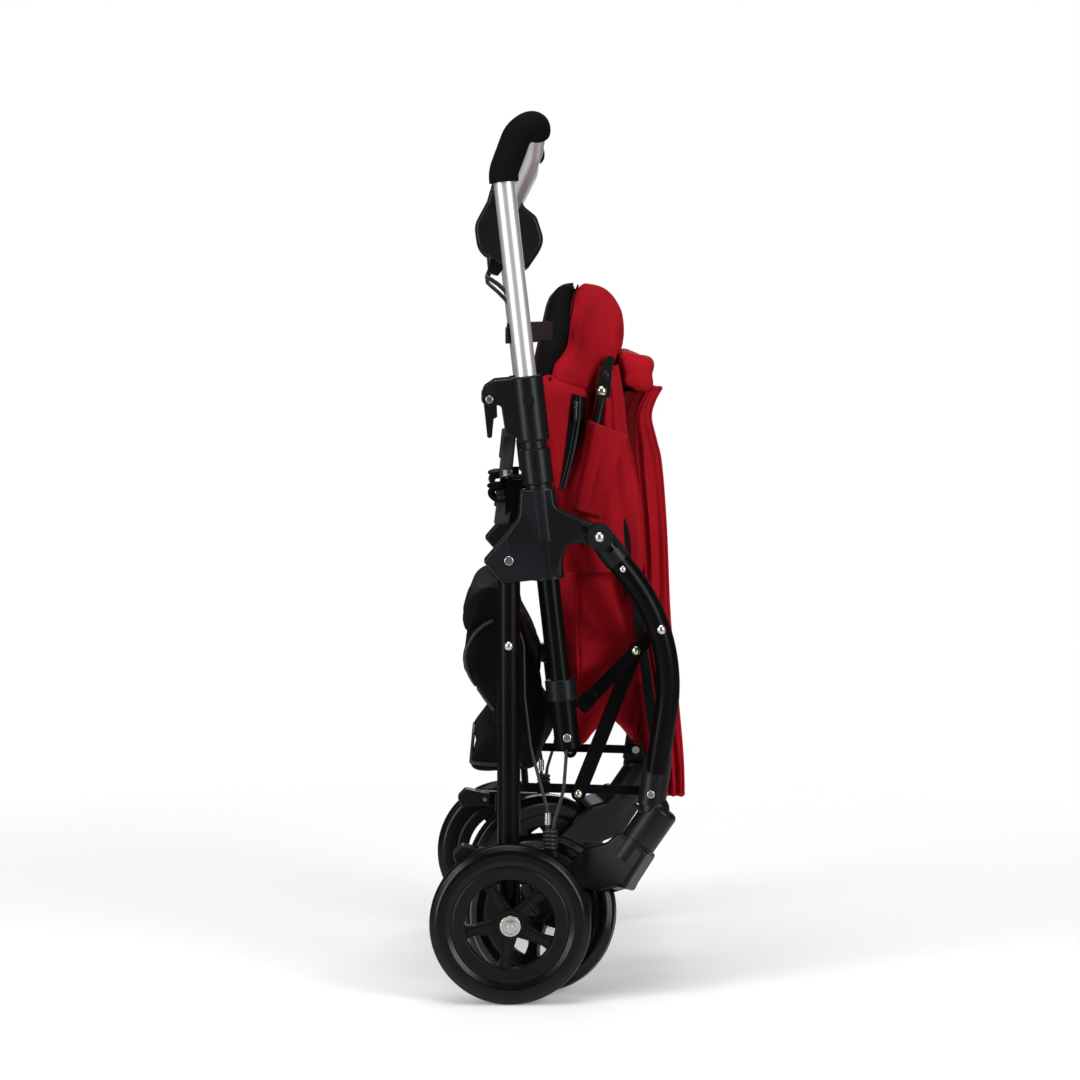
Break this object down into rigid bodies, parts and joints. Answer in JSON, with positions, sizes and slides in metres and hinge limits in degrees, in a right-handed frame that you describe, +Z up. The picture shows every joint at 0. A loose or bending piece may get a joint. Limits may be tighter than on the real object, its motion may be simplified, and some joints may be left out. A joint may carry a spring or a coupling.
{
  "type": "folding four-wheel stroller",
  "caption": "Folding four-wheel stroller, standing folded, with push bar, hinged legs, swivel front wheels, red fabric seat and canopy, and basket.",
  "frame": {"origin": "on the floor, in the middle of the folded stroller's box", "axes": "+X to the stroller's front, +Y to the user's left, +Z up"},
  "size_m": [0.2853, 0.5324, 0.9631],
  "materials": {
    "bare_aluminium": "satin, bare",
    "black_tube": "satin black powder coat",
    "black_plastic": "fine-grained black moulding",
    "steel": "plated",
    "tyre": "smooth black foam rubber",
    "foam": "closed-cell foam",
    "rubber": "matte rubber",
    "red_fabric": "plain-woven polyester",
    "black_fabric": "plain-woven polyester"
  },
  "bodies": {
    "frame": {"hub_left": "black_plastic", "hub_right": "black_plastic", "upright_tubes": "black_tube", "sleeves": "black_plastic", "latch_housing_left": "black_plastic", "latch_housing_right": "black_plastic", "cross_brace": "black_tube", "frame_screws": "steel"},
    "handle": {"push_bar": "bare_aluminium", "grips": "foam", "console_rear": "black_plastic", "console_front": "black_plastic", "handle_cables": "rubber"},
    "trigger": {"release_trigger": "black_plastic"},
    "lever_left": {"latch_lever_left": "black_plastic"},
    "lever_right": {"latch_lever_right": "black_plastic"},
    "sliders": {"slider_tubes": "black_tube", "slider_collars": "black_plastic", "slider_screws": "steel"},
    "rear_frame": {"rear_legs": "black_tube", "rear_cross_tube": "black_tube", "rear_axles": "steel", "brake_housings": "black_plastic", "brake_boots": "rubber", "brake_cables": "rubber", "basket": "black_fabric"},
    "pedal_left": {"brake_pedal_left": "black_plastic"},
    "pedal_right": {"brake_pedal_right": "black_plastic"},
    "rear_wheel_left": {"rear_rim_left": "black_plastic", "rear_tyre_left": "tyre"},
    "rear_wheel_right": {"rear_rim_right": "black_plastic", "rear_tyre_right": "tyre"},
    "front_legs": {"front_leg_left": "black_tube", "front_leg_right": "black_tube", "front_knuckles": "black_plastic", "caster_socket_left": "black_plastic", "caster_socket_right": "black_plastic", "front_fasteners": "steel"},
    "caster_left": {"caster_fork_left": "black_plastic", "front_axle_left": "steel"},
    "caster_right": {"caster_fork_right": "black_plastic", "front_axle_right": "steel"},
    "front_wheel_left": {"front_rim_left": "black_plastic", "front_tyre_left": "tyre"},
    "front_wheel_right": {"front_rim_right": "black_plastic", "front_tyre_right": "tyre"},
    "seat_frame": {"seat_rails": "black_tube", "link_rivets": "steel", "seat_cloth": "red_fabric"},
    "drop_links": {"drop_links": "black_tube", "drop_rivets": "steel"},
    "basket_rails": {"basket_frame": "black_tube"},
    "back": {"backrest": "red_fabric", "canopy_hinges": "black_plastic", "hinge_rivets": "steel", "canopy_bundle": "red_fabric", "side_flaps": "red_fabric", "recline_straps": "black_fabric"},
    "canopy": {"canopy_bow": "black_plastic", "canopy_drape": "red_fabric"}
  },
  "joints": [
    {"name": "rear_leg_fold", "type": "hinge", "parent": "frame", "child": "rear_frame", "pos_m": [-0.0565, 0, 0.4797], "axis": [0, 1, 0], "range_deg": [0, 49.2], "deforming": ["brake_cables"]},
    {"name": "front_leg_fold", "type": "hinge", "parent": "frame", "child": "front_legs", "pos_m": [0.0414, 0, 0.5048], "axis": [0, -1, 0], "range_deg": [0, 22.01]},
    {"name": "lower_tube_slide", "type": "slide", "parent": "frame", "child": "sliders", "axis": [-0.1123, 0, 0.9937], "range_m": [0, 0.09801]},
    {"name": "seat_rail_fold", "type": "hinge", "parent": "front_legs", "child": "seat_frame", "pos_m": [0.1089, 0, 0.4037], "axis": [0, 1, 0], "range_deg": [0, 52.01], "deforming": ["seat_cloth"]},
    {"name": "drop_link_fold", "type": "hinge", "parent": "seat_frame", "child": "drop_links", "pos_m": [0.0829, 0, 0.3778], "axis": [0, -1, 0], "range_deg": [0, 56.91]},
    {"name": "basket_rail_fold", "type": "hinge", "parent": "front_legs", "child": "basket_rails", "pos_m": [0.0995, 0, 0.222], "axis": [0, 1, 0], "range_deg": [0, 16.91]},
    {"name": "handle_height", "type": "slide", "parent": "frame", "child": "handle", "axis": [-0.1123, 0, 0.9937], "range_m": [0, 0.12]},
    {"name": "release_trigger", "type": "slide", "parent": "handle", "child": "trigger", "axis": [-0.1123, 0, 0.9937], "range_m": [0, 0.004], "stiffness_N_per_m": 400},
    {"name": "latch_lever_left", "type": "hinge", "parent": "frame", "child": "lever_left", "pos_m": [-0.0772, 0.216, 0.653], "axis": [0, 1, 0], "range_deg": [0, 30], "stiffness_Nm_per_rad": 0.05},
    {"name": "latch_lever_right", "type": "hinge", "parent": "frame", "child": "lever_right", "pos_m": [-0.0772, -0.216, 0.653], "axis": [0, 1, 0], "range_deg": [0, 30], "stiffness_Nm_per_rad": 0.05},
    {"name": "brake_pedal_right", "type": "hinge", "parent": "rear_frame", "child": "pedal_right", "pos_m": [-0.084, -0.216, 0.157], "axis": [0, -1, 0], "range_deg": [0, 20]},
    {"name": "brake_pedal_left", "type": "hinge", "parent": "rear_frame", "child": "pedal_left", "pos_m": [-0.084, 0.216, 0.157], "axis": [0, -1, 0], "range_deg": [0, 20.01]},
    {"name": "backrest_recline", "type": "hinge", "parent": "frame", "child": "back", "pos_m": [0.005, 0, 0.546], "axis": [0, -1, 0], "range_deg": [0, 35], "deforming": ["recline_straps"]},
    {"name": "canopy_open", "type": "hinge", "parent": "back", "child": "canopy", "pos_m": [0.05, 0, 0.6785], "axis": [0, -1, 0], "range_deg": [0, 110], "deforming": ["canopy_drape", "canopy_bundle"]},
    {"name": "rear_wheel_left", "type": "hinge", "parent": "rear_frame", "child": "rear_wheel_left", "pos_m": [-0.0553, 0.245, 0.0875], "axis": [0, 1, 0], "continuous": true},
    {"name": "caster_swivel_left", "type": "hinge", "parent": "front_legs", "child": "caster_left", "pos_m": [0.0864, 0.188, 0.1678], "axis": [0.5707, 0, 0.8211], "range_deg": [-25, 65]},
    {"name": "front_wheel_left", "type": "hinge", "parent": "caster_left", "child": "front_wheel_left", "pos_m": [-0.02195, 0.16831, 0.08591], "axis": [-0.347, 0.9063, 0.2412], "continuous": true},
    {"name": "rear_wheel_right", "type": "hinge", "parent": "rear_frame", "child": "rear_wheel_right", "pos_m": [-0.0553, -0.245, 0.0875], "axis": [0, 1, 0], "continuous": true},
    {"name": "caster_swivel_right", "type": "hinge", "parent": "front_legs", "child": "caster_right", "pos_m": [0.0864, -0.188, 0.1678], "axis": [0.5707, 0, 0.8211], "range_deg": [-65, 25]},
    {"name": "front_wheel_right", "type": "hinge", "parent": "caster_right", "child": "front_wheel_right", "pos_m": [-0.02195, -0.16831, 0.08591], "axis": [0.347, 0.9063, -0.2412], "continuous": true}
  ],
  "couplings": [
    {"joint": "front_leg_fold", "follows": "rear_leg_fold", "ratio": 0.44715},
    {"joint": "lower_tube_slide", "follows": "rear_leg_fold", "m_per_rad": 0.11413},
    {"joint": "seat_rail_fold", "follows": "rear_leg_fold", "ratio": 1.0569},
    {"joint": "drop_link_fold", "follows": "rear_leg_fold", "ratio": 1.1565},
    {"joint": "basket_rail_fold", "follows": "rear_leg_fold", "ratio": 0.3435},
    {"joint": "brake_pedal_left", "follows": "brake_pedal_right", "ratio": 1}
  ]
}
